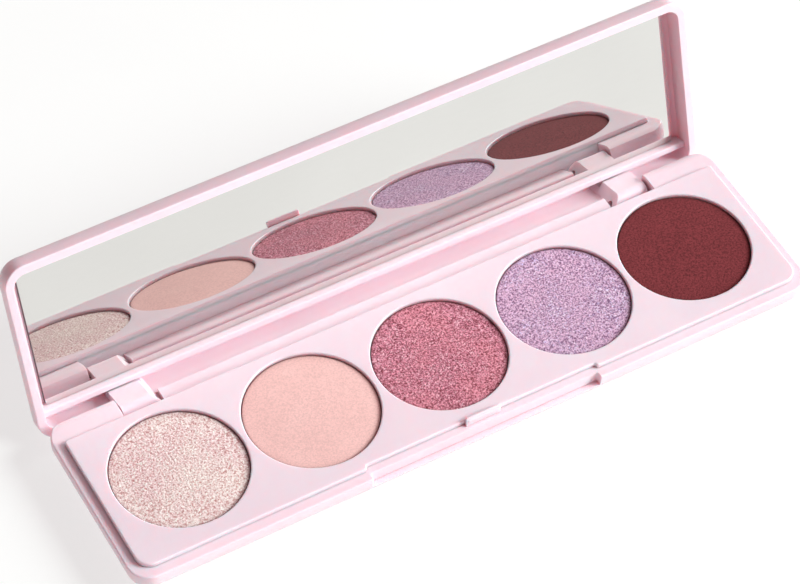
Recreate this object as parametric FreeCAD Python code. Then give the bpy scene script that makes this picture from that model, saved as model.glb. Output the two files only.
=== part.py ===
import FreeCAD, Part
import math
import os
from FreeCAD import Vector

# Slim five-pan eyeshadow palette: a moulded base with a raised deck, five round
# metal pans of pressed powder, and a mirrored lid that turns on two steel pins.
#
# Frame: millimetres, +Z up, +X along the row of pans, +Y towards the hinge.
# The origin is on the table plane, under the centre of the base.
# The lid is modelled shut and then swung open about the hinge line.

# ---------------------------------------------------------------- base casing
BASE_LENGTH = 146.8
BASE_DEPTH = 39.1
LEDGE_Z = 6.75              # flat rim that the lid shuts onto
PLAN_CORNER_R = 4.4
BASE_BOTTOM_R = 5.4         # large round under the base
LEDGE_EDGE_R = 0.35
HALF_LENGTH = BASE_LENGTH / 2
HALF_DEPTH = BASE_DEPTH / 2

POCKET_HALF_LENGTH = 69.9   # hollow that takes the wells of the deck
POCKET_FRONT_Y = -15.4
POCKET_REAR_Y = 13.6
POCKET_CORNER_R = 6.0
POCKET_FLOOR_Z = 1.6

# ----------------------------------------------------------------------- deck
DECK_TOP_Z = 7.8
DECK_HALF_LENGTH = 71.4
DECK_FRONT_Y = -17.5
DECK_REAR_Y = 14.4
DECK_FRONT_CORNER_R = 3.0
DECK_REAR_CORNER_R = 0.6
DECK_EDGE_R = 0.3

# ----------------------------------------------------------- pans and powders
PAN_COUNT = 5
PAN_PITCH = 27.7
PAN_ROW_Y = -0.9
WELL_R = 13.2
WELL_LIP_R = 0.22
WELL_FLOOR_Z = 2.5
WELL_WALL = 0.8
WELL_FLOOR = 0.9
GLUE_DISC_R = 10.0
GLUE_DISC_THICKNESS = 0.2
PAN_R = 13.08
PAN_WALL = 0.3
PAN_FOOT_R = 0.5
PAN_RIM_Z = 7.05
POWDER_OVER_RIM = 0.2       # powder pressed over the rim of the pan
POWDER_CROWN = 0.2          # how much the pressed powder is domed

# --------------------------------------------------------- thumb notch, latch
NOTCH_HALF_LENGTH = 24.8    # opening in the front wall
DECK_NOTCH_HALF_LENGTH = 25.0
NOTCH_DECK_SETBACK = 0.8
NOTCH_WALL_SETBACK = 1.4
NOTCH_FLOOR_Z = 4.0
NOTCH_CORNER_R = 0.5
NOTCH_END_R = 0.5
LATCH_HALF_LENGTH = 3.7
LATCH_BACK_Y = -16.75
LATCH_FRONT_Y = -17.4
LATCH_TOP_Z = 8.9
LATCH_BEAD_R = 0.35
LATCH_BEAD_PROUD = 0.18
LATCH_BEAD_Z = 8.2

# ---------------------------------------------------------------------- hinge
HINGE_Y = 17.7
HINGE_Z = 3.7
LID_OPEN_DEG = 109.0
HINGE_BLOCK_R = LEDGE_Z - HINGE_Z  # round top of the two end blocks, about the hinge line
SLOT_INNER_X = 49.7
SLOT_OUTER_X = 58.8
SLOT_FLOOR_Z = 0.95
REAR_STEP_Z = 4.5           # low strip between the two hinge slots
REAR_STEP_EDGE_R = 0.8
PIN_R = 0.6
PIN_BORE_R = 0.65
PIN_INNER_X = 51.0
PIN_OUTER_X = 68.0
PIN_CHAMFER = 0.12

# ------------------------------------------------------------------------ lid
LID_RIM_Z = 6.85            # lowest edge of the shut lid
LID_THICKNESS = 6.35
LID_TOP_R = 4.3
LID_SIDE_WALL = 1.8
LID_FRONT_WALL = 1.8
LID_REAR_WALL = 1.9
LID_INNER_CORNER_R = 2.5
LID_INNER_CHAMFER = 0.6
LID_RIM_EDGE_R = 0.25
LID_TOP_Z = LID_RIM_Z + LID_THICKNESS
LID_FRONT_INNER_Y = -HALF_DEPTH + LID_FRONT_WALL
LID_REAR_INNER_Y = HALF_DEPTH - LID_REAR_WALL
REAR_SKIRT_Z = 5.5          # deeper rear skirt between the hinge lugs

MIRROR_HALF_LENGTH = 69.85
MIRROR_FRONT_Y = -16.6
MIRROR_REAR_Y = 14.25
MIRROR_FACE_Z = 10.75
MIRROR_THICKNESS = 1.0
MIRROR_CORNER_R = 0.6
TAPE_THICKNESS = 0.1
TAPE_INSET = 2.0
LID_FLOOR_Z = MIRROR_FACE_Z + MIRROR_THICKNESS + TAPE_THICKNESS
SILL_DEPTH = 1.25           # ledge along the hinge side of the mirror
SILL_PROUD = 1.9
SILL_EDGE_R = 0.2

LUG_INNER_X = 52.0
LUG_OUTER_X = 58.2
LUG_GUSSET_X = 50.2         # where the slope beside each lug meets the rear wall
LUG_FRONT_Y = 15.6
LUG_NECK_Y = 16.6
LUG_NECK_Z = 8.8
LUG_BARREL_R = 1.75
LUG_TOE_R = 1.7
CATCH_HALF_LENGTH = 4.3
CATCH_DEPTH = 0.3
CATCH_BOTTOM_Z = 7.7
CATCH_TOP_Z = 8.9


def box(x0, x1, y0, y1, z0, z1):
    return Part.makeBox(x1 - x0, y1 - y0, z1 - z0, Vector(x0, y0, z0))


def cylinder_x(radius, x0, x1, y, z):
    return Part.makeCylinder(radius, x1 - x0, Vector(x0, y, z), Vector(1, 0, 0))


def cylinder_z(radius, x, y, z0, z1):
    return Part.makeCylinder(radius, z1 - z0, Vector(x, y, z0))


def edges_where(shape, test):
    """Edges whose bounding box passes the test."""
    return [edge for edge in shape.Edges if test(edge.BoundBox)]


def vertical_edges(shape, test=lambda b: True):
    return edges_where(shape, lambda b: b.ZLength > 0.01 and b.XLength < 0.01
                       and b.YLength < 0.01 and test(b))


def level_edges(shape, z, test=lambda b: True):
    """Edges that lie in the plane at height z."""
    return edges_where(shape, lambda b: abs(b.ZMin - z) < 0.01
                       and abs(b.ZMax - z) < 0.01 and test(b))


def rounded_block(x0, x1, y0, y1, z0, z1, front_r, rear_r):
    """Block with rounded upright corners, one radius in front and one behind."""
    block = box(x0, x1, y0, y1, z0, z1)
    middle = (y0 + y1) / 2
    block = block.makeFillet(front_r, vertical_edges(block, lambda b: b.YMax < middle))
    return block.makeFillet(rear_r, vertical_edges(block, lambda b: b.YMin > middle))


def profile_along_x(points, x0, x1):
    """Closed outline of (y, z) points, extruded from x0 to x1."""
    wire = Part.makePolygon([Vector(x0, y, z) for y, z in points + points[:1]])
    return Part.Face(wire).extrude(Vector(x1 - x0, 0, 0))


def mirrored_x(shape):
    return shape.mirror(Vector(0, 0, 0), Vector(1, 0, 0))


def mirrored_y(shape):
    return shape.mirror(Vector(0, 0, 0), Vector(0, 1, 0))


def both_sides(shape):
    return shape.fuse(mirrored_x(shape))


def swing_open(shape):
    """Turn a shape of the shut lid to its open place."""
    opened = shape.copy()
    opened.rotate(Vector(0, HINGE_Y, HINGE_Z), Vector(1, 0, 0), -LID_OPEN_DEG)
    return opened


def pan_positions():
    first = -(PAN_COUNT - 1) / 2 * PAN_PITCH
    return [first + index * PAN_PITCH for index in range(PAN_COUNT)]


# ----------------------------------------------------------------- base parts
def base_corner():
    """Upright corner of the base with the bottom round carried about it."""
    inset = PLAN_CORNER_R
    tip_z = BASE_BOTTOM_R - math.sqrt(BASE_BOTTOM_R ** 2 - (BASE_BOTTOM_R - inset) ** 2)
    half_angle = math.acos((BASE_BOTTOM_R - inset) / BASE_BOTTOM_R) / 2
    middle = Vector(inset - BASE_BOTTOM_R + BASE_BOTTOM_R * math.cos(half_angle), 0,
                    BASE_BOTTOM_R - BASE_BOTTOM_R * math.sin(half_angle))
    tip = Vector(0, 0, tip_z)
    side = Vector(inset, 0, BASE_BOTTOM_R)
    outline = Part.Wire([
        Part.Arc(tip, middle, side).toShape(),
        Part.makeLine(side, Vector(inset, 0, LEDGE_Z)),
        Part.makeLine(Vector(inset, 0, LEDGE_Z), Vector(0, 0, LEDGE_Z)),
        Part.makeLine(Vector(0, 0, LEDGE_Z), tip),
    ])
    corner = Part.Face(outline).revolve(Vector(0, 0, 0), Vector(0, 0, 1), 90)
    corner.translate(Vector(HALF_LENGTH - inset, HALF_DEPTH - inset, 0))
    return corner


def base_blank():
    """Rounded outer form of the base, up to the ledge."""
    along = box(-HALF_LENGTH, HALF_LENGTH, -HALF_DEPTH, HALF_DEPTH, 0, LEDGE_Z)
    across = along.makeFillet(BASE_BOTTOM_R, level_edges(along, 0, lambda b: b.YLength > 1))
    along = along.makeFillet(BASE_BOTTOM_R, level_edges(along, 0, lambda b: b.XLength > 1))
    blank = along.common(across)
    square = box(HALF_LENGTH - PLAN_CORNER_R, HALF_LENGTH + 1,
                 HALF_DEPTH - PLAN_CORNER_R, HALF_DEPTH + 1, -1, LEDGE_Z + 1)
    blank = blank.cut(mirrored_y(both_sides(square)))
    blank = blank.cut(both_sides(square))
    blank = blank.fuse(mirrored_y(both_sides(base_corner())))
    blank = blank.fuse(both_sides(base_corner())).removeSplitter()
    return blank.makeFillet(LEDGE_EDGE_R, level_edges(blank, LEDGE_Z))


def thumb_notch():
    """Space cut from the front wall so that a fingertip can lift the lid."""
    back_y = -HALF_DEPTH + NOTCH_WALL_SETBACK
    notch = box(-NOTCH_HALF_LENGTH, NOTCH_HALF_LENGTH, -HALF_DEPTH - 5, back_y,
                NOTCH_FLOOR_Z, LEDGE_Z + 1)
    return notch.makeFillet(NOTCH_CORNER_R,
                            vertical_edges(notch, lambda b: abs(b.YMax - back_y) < 0.01))


def rear_step():
    """Low strip behind the deck, between the hinge slots, with a rounded rear edge."""
    rear = HALF_DEPTH + 1
    space = box(-SLOT_INNER_X - 1, SLOT_INNER_X + 1, DECK_REAR_Y, rear,
                REAR_STEP_Z, LEDGE_Z + 1)
    edge = box(-SLOT_INNER_X - 1, SLOT_INNER_X + 1, HALF_DEPTH - REAR_STEP_EDGE_R, rear,
               REAR_STEP_Z - REAR_STEP_EDGE_R, REAR_STEP_Z)
    bar = cylinder_x(REAR_STEP_EDGE_R, -SLOT_INNER_X - 1, SLOT_INNER_X + 1,
                     HALF_DEPTH - REAR_STEP_EDGE_R, REAR_STEP_Z - REAR_STEP_EDGE_R)
    return space.fuse(edge.cut(bar))


def hinge_slot():
    return box(SLOT_INNER_X, SLOT_OUTER_X, DECK_REAR_Y, HALF_DEPTH + 1,
               SLOT_FLOOR_Z, LEDGE_Z + 1)


def block_rounding():
    """What is cut from an end block to leave its top round about the hinge line."""
    corner = box(SLOT_OUTER_X - 1, HALF_LENGTH + 1, HINGE_Y, HALF_DEPTH + 1,
                 HINGE_Z, LEDGE_Z + 1)
    return corner.cut(cylinder_x(HINGE_BLOCK_R, SLOT_OUTER_X - 2, HALF_LENGTH + 2,
                                 HINGE_Y, HINGE_Z))


def latch_tongue():
    """Small upright tongue in the notch, with a bead that the lid clicks over."""
    tongue = box(-LATCH_HALF_LENGTH, LATCH_HALF_LENGTH, LATCH_FRONT_Y, LATCH_BACK_Y,
                 LEDGE_Z - 0.5, LATCH_TOP_Z)
    tongue = tongue.makeFillet(0.3, level_edges(tongue, LATCH_TOP_Z))
    bead = cylinder_x(LATCH_BEAD_R, -LATCH_HALF_LENGTH + 0.4, LATCH_HALF_LENGTH - 0.4,
                      LATCH_FRONT_Y - LATCH_BEAD_PROUD + LATCH_BEAD_R, LATCH_BEAD_Z)
    return tongue.fuse(bead)


def base_shell():
    shell = base_blank()
    shell = shell.cut(rounded_block(-POCKET_HALF_LENGTH, POCKET_HALF_LENGTH,
                                    POCKET_FRONT_Y, POCKET_REAR_Y, POCKET_FLOOR_Z,
                                    LEDGE_Z + 1, POCKET_CORNER_R, POCKET_CORNER_R))
    shell = shell.cut(thumb_notch())
    shell = shell.cut(rear_step())
    shell = shell.cut(both_sides(hinge_slot()))
    shell = shell.cut(both_sides(block_rounding()))
    bore = cylinder_x(PIN_R, SLOT_OUTER_X - 1, PIN_OUTER_X, HINGE_Y, HINGE_Z)
    shell = shell.cut(both_sides(bore))
    return shell.fuse(latch_tongue()).removeSplitter()


def deck_plate():
    """Visible top plate with a notch in its front edge and five round openings."""
    plate = rounded_block(-DECK_HALF_LENGTH, DECK_HALF_LENGTH, DECK_FRONT_Y, DECK_REAR_Y,
                          LEDGE_Z, DECK_TOP_Z, DECK_FRONT_CORNER_R, DECK_REAR_CORNER_R)
    notch_y = DECK_FRONT_Y + NOTCH_DECK_SETBACK
    notch = box(-DECK_NOTCH_HALF_LENGTH, DECK_NOTCH_HALF_LENGTH, DECK_FRONT_Y - 5, notch_y,
                LEDGE_Z - 1, DECK_TOP_Z + 1)
    notch = notch.makeFillet(NOTCH_CORNER_R,
                             vertical_edges(notch, lambda b: abs(b.YMax - notch_y) < 0.01))
    plate = plate.cut(notch)
    ends = vertical_edges(plate, lambda b: abs(b.YMin - DECK_FRONT_Y) < 0.01
                          and abs(abs(b.XMin) - DECK_NOTCH_HALF_LENGTH) < 0.01)
    plate = plate.makeFillet(NOTCH_END_R, ends)
    plate = plate.makeFillet(DECK_EDGE_R, level_edges(plate, DECK_TOP_Z))
    for x in pan_positions():
        plate = plate.cut(cylinder_z(WELL_R, x, PAN_ROW_Y, LEDGE_Z - 1, DECK_TOP_Z + 1))
    rims = level_edges(plate, DECK_TOP_Z, lambda b: b.XLength > 20 and b.YLength > 20
                       and b.XLength < 30)
    return plate.makeFillet(WELL_LIP_R, rims)


def well(x):
    """Round cup under the deck that holds one pan."""
    outside = cylinder_z(WELL_R + WELL_WALL, x, PAN_ROW_Y, WELL_FLOOR_Z - WELL_FLOOR,
                         LEDGE_Z)
    return outside.cut(cylinder_z(WELL_R, x, PAN_ROW_Y, WELL_FLOOR_Z, LEDGE_Z + 1))


def deck_insert():
    """Deck plate with five round wells hanging under it."""
    cups = well(pan_positions()[0])
    for x in pan_positions()[1:]:
        cups = cups.fuse(well(x))
    for x in pan_positions():
        cups = cups.cut(cylinder_z(WELL_R, x, PAN_ROW_Y, WELL_FLOOR_Z, LEDGE_Z + 1))
    return deck_plate().fuse(cups).removeSplitter()


def glue_disc(x):
    return cylinder_z(GLUE_DISC_R, x, PAN_ROW_Y, WELL_FLOOR_Z,
                      WELL_FLOOR_Z + GLUE_DISC_THICKNESS)


def pan(x):
    """Pressed metal pan, open at the top."""
    foot = WELL_FLOOR_Z + GLUE_DISC_THICKNESS
    outside = cylinder_z(PAN_R, x, PAN_ROW_Y, foot, PAN_RIM_Z)
    outside = outside.makeFillet(PAN_FOOT_R, level_edges(outside, foot))
    inside = cylinder_z(PAN_R - PAN_WALL, x, PAN_ROW_Y, foot + PAN_WALL, PAN_RIM_Z + 1)
    return outside.cut(inside)


def powder(x):
    """Pressed powder: fills the pan, covers its rim, and has a slightly domed face."""
    floor = WELL_FLOOR_Z + GLUE_DISC_THICKNESS + PAN_WALL
    edge_z = PAN_RIM_Z + POWDER_OVER_RIM
    fill = cylinder_z(PAN_R - PAN_WALL, x, PAN_ROW_Y, floor, PAN_RIM_Z + 0.01)
    sphere_r = (PAN_R ** 2 + POWDER_CROWN ** 2) / (2 * POWDER_CROWN)
    cover = cylinder_z(PAN_R, x, PAN_ROW_Y, PAN_RIM_Z, edge_z + 2 * POWDER_CROWN)
    dome = Part.makeSphere(sphere_r, Vector(x, PAN_ROW_Y, edge_z + POWDER_CROWN - sphere_r))
    return fill.fuse(cover.common(dome)).removeSplitter()


def hinge_pin():
    pin = cylinder_x(PIN_R, PIN_INNER_X, PIN_OUTER_X, HINGE_Y, HINGE_Z)
    ends = edges_where(pin, lambda b: b.XLength < 0.01 and b.YLength > 0.1)
    return pin.makeChamfer(PIN_CHAMFER, ends)


# ------------------------------------------------------------------ lid parts
def lid_blank():
    blank = rounded_block(-HALF_LENGTH, HALF_LENGTH, -HALF_DEPTH, HALF_DEPTH,
                          LID_RIM_Z, LID_TOP_Z, PLAN_CORNER_R, PLAN_CORNER_R)
    blank = blank.makeFillet(LID_TOP_R, level_edges(blank, LID_TOP_Z))
    return blank.makeFillet(LID_RIM_EDGE_R, level_edges(blank, LID_RIM_Z))


def lid_hollow():
    half = HALF_LENGTH - LID_SIDE_WALL
    hollow = rounded_block(-half, half, LID_FRONT_INNER_Y, LID_REAR_INNER_Y,
                           LID_RIM_Z - 1, LID_FLOOR_Z, LID_INNER_CORNER_R,
                           LID_INNER_CORNER_R)
    return hollow.makeChamfer(LID_INNER_CHAMFER, level_edges(hollow, LID_FLOOR_Z))


def mirror_sill():
    """Ledge that the lower edge of the mirror stands on when the lid is open."""
    reach = HALF_LENGTH - LID_SIDE_WALL + 0.3
    low = MIRROR_FACE_Z - SILL_PROUD
    sill = box(-reach, reach, MIRROR_REAR_Y + 0.05, MIRROR_REAR_Y + 0.05 + SILL_DEPTH,
               low, LID_FLOOR_Z + 0.3)
    return sill.makeFillet(SILL_EDGE_R, level_edges(sill, low, lambda b: b.XLength > 1))


def rear_skirt():
    """Deeper part of the rear wall, between the two lugs."""
    return box(-LUG_GUSSET_X, LUG_GUSSET_X, LID_REAR_INNER_Y, HALF_DEPTH,
               REAR_SKIRT_Z, LID_RIM_Z + 1)


def lug():
    """Hinge lug: a thick leg with a round end that turns on the pin."""
    embed = 0.3
    leg = profile_along_x([
        (LUG_FRONT_Y, HINGE_Z - LUG_BARREL_R),
        (LUG_FRONT_Y, LUG_NECK_Z),
        (LUG_NECK_Y, LUG_NECK_Z),
        (LUG_NECK_Y, LID_FLOOR_Z + embed),
        (LID_REAR_INNER_Y + embed, LID_FLOOR_Z + embed),
        (LID_REAR_INNER_Y + embed, LID_RIM_Z + embed),
        (HINGE_Y + LUG_BARREL_R, LID_RIM_Z + embed),
        (HINGE_Y + LUG_BARREL_R, HINGE_Z - LUG_BARREL_R),
    ], LUG_GUSSET_X, LUG_OUTER_X)
    foot = HINGE_Z - LUG_BARREL_R
    toe = edges_where(leg, lambda b: b.XLength > 1 and abs(b.YMin - LUG_FRONT_Y) < 0.01
                      and abs(b.ZMax - foot) < 0.01)
    heel = edges_where(leg, lambda b: b.XLength > 1 and abs(b.ZMax - foot) < 0.01
                       and abs(b.YMin - HINGE_Y - LUG_BARREL_R) < 0.01)
    leg = leg.makeFillet(LUG_TOE_R, toe).makeFillet(LUG_BARREL_R - 0.01, heel)
    return leg.cut(lug_slope())


def lug_slope():
    """Wedge cut from the inner side of a lug, so that it widens to the rear wall."""
    corners = [
        (LUG_GUSSET_X - 1, LUG_FRONT_Y - 1),
        (LUG_INNER_X, LUG_FRONT_Y - 1),
        (LUG_INNER_X, LUG_FRONT_Y),
        (LUG_GUSSET_X, LID_REAR_INNER_Y),
        (LUG_GUSSET_X - 1, LID_REAR_INNER_Y),
    ]
    wire = Part.makePolygon([Vector(x, y, 0) for x, y in corners + corners[:1]])
    return Part.Face(wire).extrude(Vector(0, 0, LID_TOP_Z))


def catch_pocket():
    """Groove inside the front wall that the latch bead clicks into."""
    return box(-CATCH_HALF_LENGTH, CATCH_HALF_LENGTH, LID_FRONT_INNER_Y - CATCH_DEPTH,
               LID_FRONT_INNER_Y + 1, CATCH_BOTTOM_Z, CATCH_TOP_Z)


def lid_shell():
    shell = lid_blank().cut(lid_hollow())
    shell = shell.fuse(mirror_sill()).fuse(rear_skirt())
    shell = shell.fuse(both_sides(lug()))
    shell = shell.cut(both_sides(cylinder_x(PIN_BORE_R, LUG_GUSSET_X - 1, LUG_OUTER_X + 1,
                                            HINGE_Y, HINGE_Z)))
    shell = shell.cut(catch_pocket())
    return swing_open(shell.removeSplitter())


def mirror_glass():
    glass = rounded_block(-MIRROR_HALF_LENGTH, MIRROR_HALF_LENGTH, MIRROR_FRONT_Y,
                          MIRROR_REAR_Y, MIRROR_FACE_Z, MIRROR_FACE_Z + MIRROR_THICKNESS,
                          MIRROR_CORNER_R, MIRROR_CORNER_R)
    return swing_open(glass)


def mirror_tape():
    back = MIRROR_FACE_Z + MIRROR_THICKNESS
    half = MIRROR_HALF_LENGTH - TAPE_INSET
    tape = box(-half, half, MIRROR_FRONT_Y + TAPE_INSET, MIRROR_REAR_Y - TAPE_INSET,
               back, back + TAPE_THICKNESS)
    return swing_open(tape)


# ------------------------------------------------------------------- assembly
def palette():
    """Every separate piece, by node name."""
    pieces = {
        "base_shell": base_shell(),
        "deck_insert": deck_insert(),
        "hinge_pin_left": mirrored_x(hinge_pin()),
        "hinge_pin_right": hinge_pin(),
        "lid_shell": lid_shell(),
        "mirror_glass": mirror_glass(),
        "mirror_tape": mirror_tape(),
    }
    for number, x in enumerate(pan_positions(), start=1):
        pieces[f"glue_disc_{number}"] = glue_disc(x)
        pieces[f"pan_{number}"] = pan(x)
        pieces[f"powder_{number}"] = powder(x)
    return pieces


os.makedirs("parts", exist_ok=True)
for name, shape in sorted(palette().items()):
    if not shape.isValid() or len(shape.Solids) != 1:
        raise RuntimeError(f"{name}: valid {shape.isValid()}, solids {len(shape.Solids)}")
    shape.exportStep(f"parts/{name}.step")
    size = shape.BoundBox
    print(f"{name:16s} {size.XLength:7.2f} {size.YLength:7.2f} {size.ZLength:7.2f}"
          f"  z {size.ZMin:6.2f} to {size.ZMax:6.2f}  volume {shape.Volume:9.1f}")
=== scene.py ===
import math

import bmesh
import bpy
from mathutils import Matrix, Vector, noise


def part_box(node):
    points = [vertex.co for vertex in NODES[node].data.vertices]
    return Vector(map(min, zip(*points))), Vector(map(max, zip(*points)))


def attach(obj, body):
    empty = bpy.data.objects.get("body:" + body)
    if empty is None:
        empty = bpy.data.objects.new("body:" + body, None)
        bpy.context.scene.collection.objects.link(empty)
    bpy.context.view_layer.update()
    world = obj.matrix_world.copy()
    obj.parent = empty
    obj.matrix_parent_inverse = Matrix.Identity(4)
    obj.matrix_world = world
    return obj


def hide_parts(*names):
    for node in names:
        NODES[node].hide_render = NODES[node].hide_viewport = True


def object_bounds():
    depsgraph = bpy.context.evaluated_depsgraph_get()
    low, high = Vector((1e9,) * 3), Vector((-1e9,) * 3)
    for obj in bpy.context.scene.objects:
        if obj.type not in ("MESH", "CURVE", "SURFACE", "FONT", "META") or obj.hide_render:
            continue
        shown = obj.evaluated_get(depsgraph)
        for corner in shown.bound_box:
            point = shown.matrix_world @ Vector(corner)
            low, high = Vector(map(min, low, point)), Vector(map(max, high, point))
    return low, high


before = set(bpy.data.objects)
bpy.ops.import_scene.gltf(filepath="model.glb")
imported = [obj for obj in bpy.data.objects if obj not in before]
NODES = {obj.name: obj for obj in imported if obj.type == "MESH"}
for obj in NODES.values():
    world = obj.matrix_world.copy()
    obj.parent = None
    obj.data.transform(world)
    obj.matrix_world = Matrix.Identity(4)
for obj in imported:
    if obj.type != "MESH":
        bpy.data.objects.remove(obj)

CAD_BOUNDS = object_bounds()
MM = 0.001
LID_OPEN = math.radians(109.0)
MIRROR_NORMAL = (0, -math.sin(LID_OPEN), -math.cos(LID_OPEN))   # of the open mirror
PAN_COUNT = 5

# ------------------------------------------------------------------ camera
TARGET_ROW_Y = -0.9 * MM            # line of the pan centres
DECK_TOP_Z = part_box("deck_insert")[1][2]
CAMERA_OFFSET = Vector((-197.66, -296.32, 472.64)) * MM
CAMERA_AZIMUTH = math.radians(-32.39)
CAMERA_ELEVATION = math.radians(51.92)
CAMERA_ROLL = math.radians(3.38)
CAMERA_LENS = 140.42

# ------------------------------------------------------------------ colours
PLASTIC = (0.885, 0.70, 0.765)
PLASTIC_LIGHT = (0.91, 0.735, 0.80)
PAINTED_CREASE_SHADE = (0.64, 0.28, 0.32)     # painted shade: deep rose that the plastic is darkened to in creases
PLASTIC_SCATTER = (1.0, 0.36, 0.39)   # how far red, green and blue spread below the face
PLASTIC_SCATTER_SCALE = 1.3 * MM
CREASE_SHADE_REACH = 1.2 * MM               # how near a second face has to be for shade to be painted into a crease
FLAKE_SIZE = 0.28 * MM                # size of one grain of mica
SKY_LEAN = (0.70, -0.50, 0.50)        # side that the sky light comes from
SKY_DARK = (0.11, 0.055, 0.06, 1)
SKY_LIGHT = (1.0, 0.80, 0.82, 1)


def srgb(r, g, b):
    """Display colour from 0 to 255, as the linear colour that a shader takes."""
    out = []
    for value in (r, g, b):
        c = value / 255
        out.append(c / 12.92 if c <= 0.04045 else ((c + 0.055) / 1.055) ** 2.4)
    return (*out, 1.0)


# painted shade on the powder beside the wall of its well, as openness() takes it
PAINTED_RIM_SHADE = (2.2 * MM, (0.5, srgb(104, 74, 80)), (0.92, 1.0))


# ------------------------------------------------------------ node helpers
class Graph:
    """A short way to build one material's nodes."""

    def __init__(self, name):
        self.material = bpy.data.materials.new(name)
        self.material.use_nodes = True
        self.tree = self.material.node_tree
        self.tree.nodes.clear()
        self.output = self.add("ShaderNodeOutputMaterial")
        self.shader = self.add("ShaderNodeBsdfPrincipled")
        self.join(self.shader.outputs["BSDF"], self.output.inputs["Surface"])
        self.place = self.add("ShaderNodeTexCoord").outputs["Object"]

    def add(self, kind, **values):
        node = self.tree.nodes.new(kind)
        for key, value in values.items():
            setattr(node, key, value)
        return node

    def join(self, start, end):
        self.tree.links.new(start, end)

    def set(self, **values):
        for key, value in values.items():
            self.shader.inputs[key.replace("_", " ")].default_value = value

    def noise(self, scale, detail=2.0, roughness=0.5, where=None):
        """Noise from 0 to 1 with scale waves to the metre."""
        node = self.add("ShaderNodeTexNoise")
        node.inputs["Scale"].default_value = scale
        node.inputs["Detail"].default_value = detail
        node.inputs["Roughness"].default_value = roughness
        self.join(where or self.place, node.inputs["Vector"])
        return node.outputs["Fac"]

    def cells(self, scale):
        """Cells with a random colour each, scale to the metre."""
        node = self.add("ShaderNodeTexVoronoi")
        node.inputs["Scale"].default_value = scale
        self.join(self.place, node.inputs["Vector"])
        return node.outputs["Color"]

    def ramp(self, value, *stops):
        """stops: (position, colour) pairs, with colour an RGBA or a grey number."""
        node = self.add("ShaderNodeValToRGB")
        elements = node.color_ramp.elements
        while len(elements) < len(stops):
            elements.new(0.5)
        for element, (position, colour) in zip(elements, stops):
            element.position = position
            grey = isinstance(colour, (int, float))
            element.color = (colour, colour, colour, 1) if grey else colour
        self.join(value, node.inputs["Fac"])
        return node.outputs["Color"]

    def mix(self, factor, a, b, mode="MIX"):
        node = self.add("ShaderNodeMix", data_type="RGBA", blend_type=mode)
        colour_a, colour_b, result = node.inputs[6], node.inputs[7], node.outputs[2]
        for socket, value in ((node.inputs["Factor"], factor), (colour_a, a), (colour_b, b)):
            if hasattr(value, "is_output"):
                self.join(value, socket)
            else:
                socket.default_value = value
        return result

    def openness(self, reach, *stops):
        """Grey ramp over how open the place is, from a tight corner to a free face, for painting
        shade into corners.
        """
        node = self.add("ShaderNodeAmbientOcclusion", samples=8)
        node.inputs["Distance"].default_value = reach
        return self.ramp(node.outputs["AO"], *stops)

    def bump(self, height, strength, distance, normal=None):
        node = self.add("ShaderNodeBump")
        node.inputs["Strength"].default_value = strength
        node.inputs["Distance"].default_value = distance
        self.join(height, node.inputs["Height"])
        if normal is not None:
            self.join(normal, node.inputs["Normal"])
        return node.outputs["Normal"]

    def finish(self, colour=None, roughness=None, normal=None, metallic=None):
        for key, value in (("Base Color", colour), ("Roughness", roughness),
                           ("Normal", normal), ("Metallic", metallic)):
            if value is not None:
                self.join(value, self.shader.inputs[key])
        return self.material


# --------------------------------------------------------------- materials
def plastic_material():
    """Satin pink plastic that glows a little in thin parts, with shade painted deep rose into its
    creases.
    """
    g = Graph("satin_pink_plastic")
    cloud = g.noise(60, 3)
    colour = g.ramp(cloud, (0.3, (*PLASTIC, 1)), (0.7, (*PLASTIC_LIGHT, 1)))
    # painted shade: the colour darkens to deep rose where faces close in, by ambient occlusion
    free = g.openness(CREASE_SHADE_REACH, (0.1, 0.0), (0.68, 1.0))
    colour = g.mix(free, (*PAINTED_CREASE_SHADE, 1), colour)
    rough = g.ramp(g.noise(900, 4), (0.3, 0.36), (0.7, 0.44))
    fine = g.bump(g.noise(5200, 3, 0.6), 0.12, 0.03 * MM)
    normal = g.bump(g.noise(140, 2), 0.05, 0.2 * MM, fine)
    g.set(Subsurface_Weight=0.9, Subsurface_Radius=PLASTIC_SCATTER,
          Subsurface_Scale=PLASTIC_SCATTER_SCALE, IOR=1.48, Coat_Weight=0.12, Coat_Roughness=0.25)
    return g.finish(colour, rough, normal)


def mirror_material():
    """Silvered on the two broad faces, dark ground glass on the edges."""
    g = Graph("silvered_glass")
    normal = g.add("ShaderNodeTexCoord").outputs["Normal"]
    across = g.add("ShaderNodeVectorMath", operation="DOT_PRODUCT")
    g.join(normal, across.inputs[0])
    across.inputs[1].default_value = MIRROR_NORMAL
    facing = g.add("ShaderNodeMath", operation="ABSOLUTE")
    g.join(across.outputs["Value"], facing.inputs[0])
    face = g.ramp(facing.outputs[0], (0.6, 0.0), (0.9, 1.0))
    silver = g.ramp(g.noise(25, 2), (0.3, srgb(218, 217, 214)), (0.7, srgb(223, 222, 219)))
    colour = g.mix(face, srgb(52, 40, 42), silver)
    smear = g.ramp(g.noise(90, 4), (0.45, 0.012), (0.8, 0.03))
    rough = g.mix(face, (0.3, 0.3, 0.3, 1), smear)
    return g.finish(colour, rough, metallic=face)


def metal_material(name, low, high, rough, stretch):
    """Bare metal with fine drawn or turned lines."""
    g = Graph(name)
    lines = g.add("ShaderNodeMapping")
    lines.inputs["Scale"].default_value = stretch
    g.join(g.place, lines.inputs["Vector"])
    grain = g.noise(3000, 3, where=lines.outputs["Vector"])
    colour = g.ramp(grain, (0.3, low), (0.7, high))
    roughness = g.ramp(grain, (0.3, rough - 0.05), (0.7, rough + 0.08))
    g.set(Metallic=1.0)
    return g.finish(colour, roughness, g.bump(grain, 0.15, 0.02 * MM))


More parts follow.
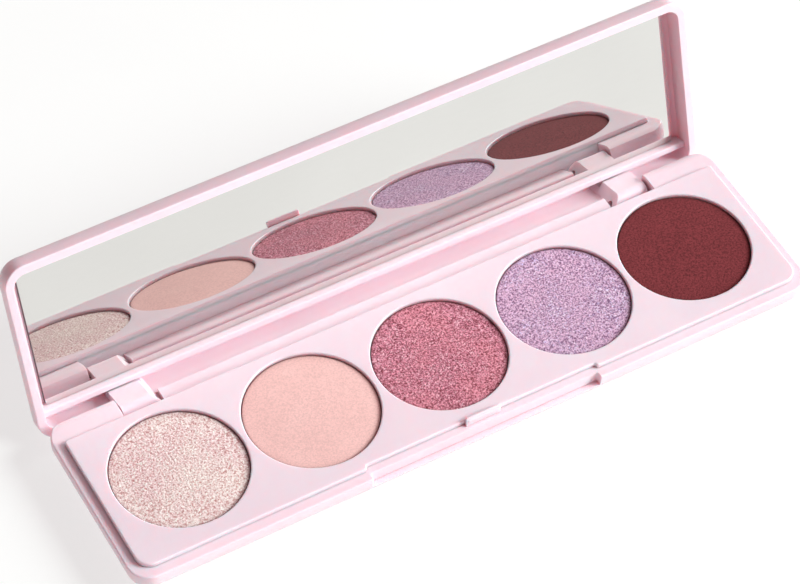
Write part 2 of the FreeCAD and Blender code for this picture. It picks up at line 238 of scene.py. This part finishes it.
def dull_material(name, low, high):
    """Tape or glue: pale, dull and slightly uneven."""
    g = Graph(name)
    spots = g.noise(1500, 4)
    colour = g.ramp(spots, (0.35, low), (0.65, high))
    rough = g.ramp(spots, (0.3, 0.6), (0.7, 0.8))
    return g.finish(colour, rough, g.bump(spots, 0.3, 0.05 * MM))


def matte_powder(name, low, middle, high, grit):
    """Pressed matte powder in three near colours; grit is the shade of its darkest specks."""
    g = Graph(name)
    cloud = g.noise(180, 4, 0.55)
    grain = g.noise(6500, 4, 0.75)
    colour = g.ramp(cloud, (0.3, low), (0.5, middle), (0.7, high))
    specks = g.ramp(g.noise(2500, 3, 0.75), (0.38, grit), (0.58, 1.0))
    colour = g.mix(1.0, colour, specks, "MULTIPLY")
    # painted shade: the powder darkens beside the wall of its well
    colour = g.mix(1.0, colour, g.openness(*PAINTED_RIM_SHADE), "MULTIPLY")
    fine = g.bump(grain, 0.6, 0.07 * MM)
    normal = g.bump(g.noise(600, 3), 0.15, 0.1 * MM, fine)
    g.set(Specular_IOR_Level=0.12, Sheen_Weight=0.1, Sheen_Roughness=0.5)
    rough = g.ramp(grain, (0.3, 0.85), (0.7, 1.0))
    return g.finish(colour, rough, normal)


def shimmer_powder(name, ground, flakes, tint_and_sheen, pit, metal, sparkle):
    """Pressed shimmer: grains of mica that each catch the light their own way.

    ground and flakes are colours from dark to light, tint_and_sheen is the colour of the
    broader patches, partly an uneven tint of the powder and partly painted sheen where
    the pearl lies flat, and pit is the shade of the specks between the grains. metal is
    how metallic the brightest grains are, and sparkle the roughness of the smoothest ones.
    """
    g = Graph(name)
    scale = 1 / FLAKE_SIZE
    tone = g.cells(scale)
    pick = g.add("ShaderNodeSeparateColor")
    g.join(tone, pick.inputs["Color"])
    stops = [((i + 0.5) / len(flakes), c) for i, c in enumerate(flakes)]
    flake = g.ramp(pick.outputs["Red"], *stops)
    dust = g.ramp(g.noise(scale * 1.3, 3, 0.7), (0.35, ground[0]), (0.65, ground[1]))
    cover = g.ramp(pick.outputs["Green"], (0.2, 0.1), (0.8, 0.9))
    colour = g.mix(cover, dust, flake)
    # painted sheen: broad patches shift toward the patch colour where the pearl would lie flat
    # and catch the light, partly the powder's own uneven tint
    broad = g.ramp(g.noise(105, 2, 0.5), (0.42, 0.0), (0.62, 0.55))
    colour = g.mix(broad, colour, tint_and_sheen)
    pits = g.ramp(g.noise(scale * 0.8, 2, 0.65), (0.36, pit), (0.56, 1.0))
    colour = g.mix(1.0, colour, pits, "MULTIPLY")
    # painted shade: the powder darkens beside the wall of its well
    colour = g.mix(1.0, colour, g.openness(*PAINTED_RIM_SHADE), "MULTIPLY")
    fine = g.bump(tone, 0.9, 0.05 * MM)
    normal = g.bump(g.noise(scale * 0.7, 3, 0.6), 0.8, 0.1 * MM, fine)
    rough = g.ramp(pick.outputs["Blue"], (0.2, sparkle), (0.8, 0.8))
    metallic = g.ramp(pick.outputs["Green"], (0.3, metal * 0.3), (0.8, metal))
    g.set(Specular_IOR_Level=0.4)
    return g.finish(colour, rough, normal, metallic)


def floor_material():
    """White acrylic sheet lit softly from below, as a light table is."""
    g = Graph("pale_floor")
    colour = g.ramp(g.noise(30, 3), (0.3, srgb(153, 153, 152)), (0.7, srgb(155, 155, 154)))
    rough = g.ramp(g.noise(300, 3), (0.3, 0.7), (0.7, 0.8))
    g.set(Emission_Color=(1.0, 1.0, 0.995, 1), Emission_Strength=0.66)
    return g.finish(colour, rough, g.bump(g.noise(2500, 3), 0.1, 0.03 * MM))


# ------------------------------------------------------------------ pieces
def new_piece(name, mesh, material):
    piece = bpy.data.objects.new(name, mesh)
    bpy.context.scene.collection.objects.link(piece)
    mesh.materials.append(material)
    return piece


def powder_cake(name, node, material, crown, relief, grain, seed):
    """Pressed powder with a domed, finely broken face, over the solid of one node.

    crown is the height of the dome, relief the height of the broken grain, grain how
    many grains there are to a millimetre, and seed shifts the pattern.
    """
    low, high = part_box(node)
    centre = (low + high) / 2
    radius = (high[0] - low[0]) / 2
    rings, spokes = 96, 320
    edge_z = high[2] - 0.3 * MM         # just over the rim of the pan
    edge_drop = 0.03 * MM
    edge_start = 0.965                  # share of the radius where the edge begins to drop
    swell_height = 0.04 * MM
    swell_scale = 0.16
    shift = Vector((seed * 7.3, seed * 3.1, seed * 1.7))
    bm = bmesh.new()

    def height(x, y, share):
        dome = crown * (1 - share * share)
        p = Vector((x, y, 0)) / MM
        broken = noise.fractal(p * grain + shift, 0.8, 2.1, 4)
        swell = noise.noise(p * swell_scale + shift)
        past_edge = max(0.0, (share - edge_start) / (1 - edge_start))
        return edge_z + dome + relief * broken + swell_height * swell - edge_drop * past_edge ** 2

    hub = bm.verts.new((centre[0], centre[1], height(centre[0], centre[1], 0)))
    previous = None
    for ring in range(1, rings + 1):
        share = ring / rings
        row = []
        for spoke in range(spokes):
            angle = 2 * math.pi * spoke / spokes
            reach = radius * share
            if ring == rings:           # slightly crumbled outline
                reach *= 1 - 0.002 * abs(noise.noise(Vector((spoke * 0.21, seed, 0))))
            x = centre[0] + reach * math.cos(angle)
            y = centre[1] + reach * math.sin(angle)
            row.append(bm.verts.new((x, y, height(x, y, share))))
        for spoke in range(spokes):
            following = (spoke + 1) % spokes
            if previous is None:
                bm.faces.new((hub, row[spoke], row[following]))
            else:
                bm.faces.new((previous[spoke], row[spoke], row[following], previous[following]))
        previous = row
    foot = [bm.verts.new((v.co.x, v.co.y, low[2])) for v in previous]
    for spoke in range(spokes):
        following = (spoke + 1) % spokes
        bm.faces.new((previous[spoke], foot[spoke], foot[following], previous[following]))
    bm.faces.new(list(reversed(foot)))
    bmesh.ops.recalc_face_normals(bm, faces=bm.faces)
    mesh = bpy.data.meshes.new(name)
    bm.to_mesh(mesh)
    bm.free()
    mesh.shade_smooth()
    piece = new_piece(name, mesh, material)
    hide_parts(node)
    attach(piece, "base")


def give(node, material):
    """Put one material on every slot of a CAD node."""
    mesh = NODES[node].data
    if not mesh.materials:
        mesh.materials.append(material)
    for index in range(len(mesh.materials)):
        mesh.materials[index] = material


plastic = plastic_material()
for node in ("base_shell", "deck_insert", "lid_shell"):
    give(node, plastic)
give("mirror_glass", mirror_material())
give("mirror_tape", dull_material("tape", srgb(222, 220, 214), srgb(236, 234, 229)))
glue = dull_material("glue", srgb(228, 222, 206), srgb(238, 233, 220))
tin = metal_material(
    "stamped_tin", srgb(196, 197, 200), srgb(226, 227, 230), rough=0.28, stretch=(1, 1, 0.1))
steel = metal_material(
    "drawn_steel", srgb(160, 160, 164), srgb(200, 200, 204), rough=0.25, stretch=(0.02, 1, 1))
for number in range(1, PAN_COUNT + 1):
    give(f"glue_disc_{number}", glue)
    give(f"pan_{number}", tin)
for side in ("left", "right"):
    give(f"hinge_pin_{side}", steel)

champagne = shimmer_powder(
    "champagne_shimmer",
    ground=(srgb(238, 206, 206), srgb(252, 232, 232)),
    flakes=(srgb(230, 190, 192), srgb(252, 230, 230), srgb(255, 244, 242), srgb(255, 255, 248)),
    tint_and_sheen=srgb(255, 248, 240), pit=srgb(204, 160, 158), metal=0.06, sparkle=0.35)
nude = matte_powder(
    "peach_nude", srgb(243, 195, 190), srgb(245, 197, 192), srgb(247, 200, 195), grit=0.84)
rose = shimmer_powder(
    "rose_shimmer",
    ground=(srgb(196, 118, 138), srgb(236, 160, 180)),
    flakes=(srgb(168, 80, 103), srgb(228, 141, 162), srgb(253, 171, 192), srgb(255, 208, 221)),
    tint_and_sheen=srgb(238, 152, 167), pit=srgb(140, 76, 90), metal=0.2, sparkle=0.3)
lilac = shimmer_powder(
    "lilac_shimmer",
    ground=(srgb(200, 160, 192), srgb(234, 196, 228)),
    flakes=(srgb(172, 128, 166), srgb(226, 184, 212), srgb(244, 208, 230),
            srgb(226, 214, 255), srgb(255, 240, 255)),
    tint_and_sheen=srgb(234, 188, 217), pit=srgb(140, 110, 140), metal=0.2, sparkle=0.3)
burgundy = matte_powder(
    "burgundy", srgb(129, 52, 57), srgb(132, 54, 59), srgb(135, 56, 61), grit=0.48)
CAKES = (                               # powder, crown and relief in mm, grain
    (champagne, 0.22, 0.06, 2.6),
    (nude, 0.34, 0.008, 3.0),
    (rose, 0.18, 0.05, 3.2),
    (lilac, 0.18, 0.035, 3.4),
    (burgundy, 0.2, 0.015, 3.4),
)
for number, (material, crown, relief, grain) in enumerate(CAKES, start=1):
    powder_cake(f"powder_cake_{number}", f"powder_{number}", material,
                crown * MM, relief * MM, grain, number)

# ------------------------------------------------------- floor, light, camera
floor_mesh = bpy.data.meshes.new("floor")
half = 3.0
floor_mesh.from_pydata([(-half, -half, 0), (half, -half, 0), (half, half, 0), (-half, half, 0)],
                       [], [(0, 1, 2, 3)])
floor = new_piece("floor", floor_mesh, floor_material())
floor.location.z = CAD_BOUNDS[0][2]


def area_light(name, shape, size, power, colour):
    """A soft panel of light, still to be placed and turned."""
    data = bpy.data.lights.new(name, "AREA")
    data.shape = shape
    data.size, data.size_y = size
    data.energy = power
    data.color = colour
    lamp = bpy.data.objects.new(name, data)
    bpy.context.scene.collection.objects.link(lamp)
    lamp.rotation_mode = "QUATERNION"
    return lamp


def key_light():
    """The main light, from the right and a little in front."""
    place = Vector((1.63, -0.87, 1.19))
    lamp = area_light("key", "DISK", (1.1, 1.1), 69.0, (0.90, 1.0, 0.985))
    lamp.location = place
    lamp.rotation_quaternion = (-place).to_track_quat("-Z", "Y")


def mirror_glow():
    """Light that the open mirror throws back over the hinge, as a soft panel on its face."""
    low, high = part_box("mirror_glass")
    facing = Vector(MIRROR_NORMAL)
    across = Vector((1, 0, 0))
    gap = 0.9 * MM                      # from the middle of the glass
    lamp = area_light("mirror_glow", "RECTANGLE", (136 * MM, 28 * MM), 0.0050, (1.0, 0.97, 0.975))
    lamp.location = (Vector(low) + Vector(high)) / 2 + facing * gap
    turn = Matrix((across, across.cross(facing), -facing)).transposed()
    lamp.rotation_quaternion = turn.to_quaternion()
    lamp.visible_camera = False
    lamp.visible_glossy = False
    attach(lamp, "lid")


def studio_world():
    """Soft light from all round, warm and strong on the side of SKY_LEAN, deep rose opposite."""
    world = bpy.data.worlds.new("studio")
    bpy.context.scene.world = world
    world.use_nodes = True
    tree = world.node_tree
    backdrop = tree.nodes["Background"]
    backdrop.inputs["Strength"].default_value = 0.48
    direction = tree.nodes.new("ShaderNodeTexCoord")
    lean = tree.nodes.new("ShaderNodeVectorMath")
    lean.operation = "DOT_PRODUCT"
    lean.inputs[1].default_value = SKY_LEAN
    spread = tree.nodes.new("ShaderNodeMath")     # from -1..1 to 0..1
    spread.operation = "MULTIPLY_ADD"
    spread.inputs[1].default_value = 0.5
    spread.inputs[2].default_value = 0.5
    shade = tree.nodes.new("ShaderNodeValToRGB")
    stops = ((0.25, SKY_DARK), (0.75, SKY_LIGHT))
    for element, (position, colour) in zip(shade.color_ramp.elements, stops):
        element.position = position
        element.color = colour
    tree.links.new(direction.outputs["Generated"], lean.inputs[0])
    tree.links.new(lean.outputs["Value"], spread.inputs[0])
    tree.links.new(spread.outputs[0], shade.inputs["Fac"])
    tree.links.new(shade.outputs["Color"], backdrop.inputs["Color"])


def set_camera():
    """Camera at CAMERA_OFFSET from the middle of the row of pans, on the deck."""
    data = bpy.data.cameras.new("camera")
    data.lens = CAMERA_LENS
    data.sensor_width = 36.0
    data.clip_start = 0.01
    data.clip_end = 20.0
    camera = bpy.data.objects.new("camera", data)
    bpy.context.scene.collection.objects.link(camera)
    bpy.context.scene.camera = camera
    back = Vector((math.sin(CAMERA_AZIMUTH) * math.cos(CAMERA_ELEVATION),
                   -math.cos(CAMERA_AZIMUTH) * math.cos(CAMERA_ELEVATION),
                   math.sin(CAMERA_ELEVATION)))
    camera.rotation_mode = "QUATERNION"
    roll = Matrix.Rotation(CAMERA_ROLL, 3, "Z").to_quaternion()
    camera.rotation_quaternion = (-back).to_track_quat("-Z", "Y") @ roll
    camera.location = Vector((0, TARGET_ROW_Y, DECK_TOP_Z)) + CAMERA_OFFSET


key_light()
mirror_glow()
studio_world()
set_camera()
bpy.context.scene.view_settings.view_transform = "Standard"
